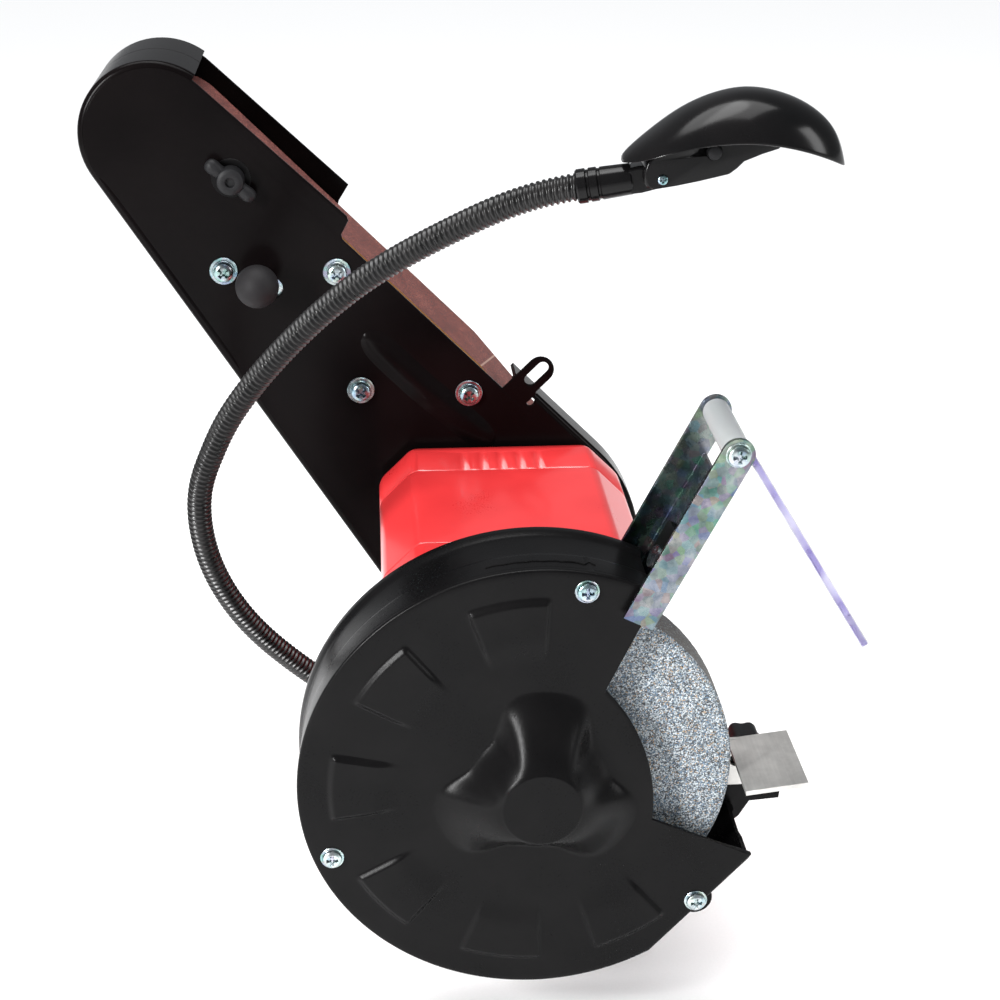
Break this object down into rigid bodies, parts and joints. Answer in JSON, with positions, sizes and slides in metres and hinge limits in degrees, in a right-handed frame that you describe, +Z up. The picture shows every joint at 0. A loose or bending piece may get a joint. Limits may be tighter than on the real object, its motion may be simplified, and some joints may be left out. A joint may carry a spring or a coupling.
{
  "type": "bench grinder",
  "caption": "Bench grinder with a guarded grinding wheel on one end of a central motor, a tilting belt sanding arm on the other, an eye shield, a tool rest and a gooseneck work light.",
  "frame": {"origin": "on the bench plane, at the centre of the four base bolt holes, under the middle of the motor", "axes": "+Z up, +X along the spindle towards the belt arm, operator at -Y"},
  "size_m": [0.289, 0.3025, 0.3726],
  "materials": {
    "black_paint": "satin black stove enamel with a fine orange-peel texture",
    "gloss_black_paint": "smooth gloss black powder coat",
    "red_paint": "gloss red enamel on die castings",
    "zinc": "blue-white zinc plating, slightly mottled",
    "satin_zinc": "pale satin zinc plating",
    "rubber": "matt black rubber",
    "black_plastic": "black moulded plastic",
    "gloss_black_plastic": "gloss black plastic",
    "green_plastic": "green push button",
    "red_plastic": "red push button",
    "pale_plastic": "pale plastic",
    "lamination_steel": "stacked steel laminations",
    "copper": "enamelled copper wire",
    "bearing_steel": "ground steel",
    "spring_steel": "spring wire",
    "aluminium": "turned aluminium",
    "abrasive_stone": "grey speckled vitrified grit",
    "abrasive_cloth": "brown-red grit on cloth",
    "blotter_paper": "card",
    "clear_plastic": "clear polycarbonate with a violet edge",
    "lens": "clear lens"
  },
  "bodies": {
    "base": {"base_housing": "black_paint", "base_plate": "zinc", "rubber_feet": "rubber", "switch_plate": "black_plastic", "switch_body": "black_plastic", "run_capacitor": "pale_plastic", "cord_gland": "black_plastic", "motor_shell": "red_paint", "end_bell_left": "red_paint", "end_bell_right": "red_paint", "motor_through_bolts": "zinc", "stator_core": "lamination_steel", "stator_windings": "copper", "bearings": "bearing_steel", "guard_body": "black_paint", "guard_cover": "black_paint", "guard_cover_screws": "zinc", "guard_back_screws": "zinc", "tool_rest_bracket": "black_paint", "shield_bracket": "zinc", "shield_bolt": "zinc", "shield_pivot_screw": "zinc", "arm_retaining_ring": "zinc", "light_bracket": "black_paint", "neck_socket": "zinc", "gooseneck_lower": "gloss_black_plastic"},
    "rotating_group": {"spindle": "bearing_steel", "rotor_core": "lamination_steel", "wheel_flange_inner": "zinc", "wheel_flange_outer": "zinc", "grinding_wheel": "abrasive_stone", "wheel_blotters": "blotter_paper", "wheel_nut": "zinc", "drive_wheel": "aluminium", "drive_wheel_nut": "zinc"},
    "start_button_body": {"start_button": "green_plastic"},
    "stop_button_body": {"stop_button": "red_plastic"},
    "tool_rest": {"tool_rest_plate": "satin_zinc"},
    "rest_knob": {"tool_rest_knob": "black_plastic"},
    "shield": {"eye_shield": "clear_plastic"},
    "arm": {"arm_plate": "gloss_black_paint", "arm_cover": "gloss_black_paint", "arm_spacers": "zinc", "arm_bolts": "zinc", "platen": "zinc", "sanding_belt": "abrasive_cloth", "tension_spring": "spring_steel"},
    "tension_slide_group": {"tension_carriage": "zinc", "tension_knob": "black_plastic", "idler_axle": "bearing_steel"},
    "idler": {"idler_wheel": "aluminium"},
    "tracking": {"tracking_knob": "black_plastic"},
    "upper_neck": {"gooseneck_upper": "gloss_black_plastic", "neck_collar": "gloss_black_plastic"},
    "lamp_head": {"lamp_frame": "black_plastic", "lamp_shell": "gloss_black_plastic", "lamp_lens": "lens", "led_board": "pale_plastic", "lamp_pivot_pin": "bearing_steel"},
    "lamp_switch": {"lamp_button": "black_plastic"}
  },
  "joints": [
    {"name": "spindle_spin", "type": "hinge", "parent": "base", "child": "rotating_group", "pos_m": [0, 0, 0.12], "axis": [1, 0, 0], "continuous": true},
    {"name": "start_press", "type": "slide", "parent": "base", "child": "start_button_body", "axis": [0, 1, 0], "range_m": [0, 0.003], "stiffness_N_per_m": 400},
    {"name": "stop_press", "type": "slide", "parent": "base", "child": "stop_button_body", "axis": [0, 1, 0], "range_m": [0, 0.003], "stiffness_N_per_m": 400},
    {"name": "rest_slide", "type": "slide", "parent": "base", "child": "tool_rest", "axis": [0, -1, 0], "range_m": [-0.002, 0.005]},
    {"name": "rest_knob_turn", "type": "hinge", "parent": "base", "child": "rest_knob", "pos_m": [-0.094, -0.088, 0.106], "axis": [1, 0, 0], "range_deg": [0, 360]},
    {"name": "shield_tilt", "type": "hinge", "parent": "base", "child": "shield", "pos_m": [-0.1165, -0.0674, 0.2542], "axis": [1, 0, 0], "range_deg": [-80, 15]},
    {"name": "arm_tilt", "type": "hinge", "parent": "base", "child": "arm", "pos_m": [0.073, 0, 0.12], "axis": [1, 0, 0], "range_deg": [-45, 45]},
    {"name": "tension_travel", "type": "slide", "parent": "arm", "child": "tension_slide_group", "axis": [0, 0.7071, 0.7071], "range_m": [-0.006, 0], "stiffness_N_per_m": 3000, "springref_m": 0.01},
    {"name": "idler_spin", "type": "hinge", "parent": "tension_slide_group", "child": "idler", "pos_m": [0.102, 0.1446, 0.31198], "axis": [1, 0, 0], "continuous": true},
    {"name": "tracking_turn", "type": "hinge", "parent": "arm", "child": "tracking", "pos_m": [0.07, 0.1171, 0.30215], "axis": [1, 0, 0], "range_deg": [-180, 180]},
    {"name": "neck_flex", "type": "hinge", "parent": "base", "child": "upper_neck", "pos_m": [-0.046, 0.122, 0.221], "axis": [1, 0, 0], "range_deg": [-25, 8]},
    {"name": "lamp_tilt", "type": "hinge", "parent": "upper_neck", "child": "lamp_head", "pos_m": [-0.096, -0.0426, 0.3426], "axis": [1, 0, 0], "range_deg": [-6, 20]},
    {"name": "lamp_press", "type": "slide", "parent": "lamp_head", "child": "lamp_switch", "axis": [1, 0, 0], "range_m": [0, 0.001], "stiffness_N_per_m": 300}
  ],
  "couplings": [
    {"joint": "idler_spin", "follows": "spindle_spin", "ratio": 1.9961}
  ]
}
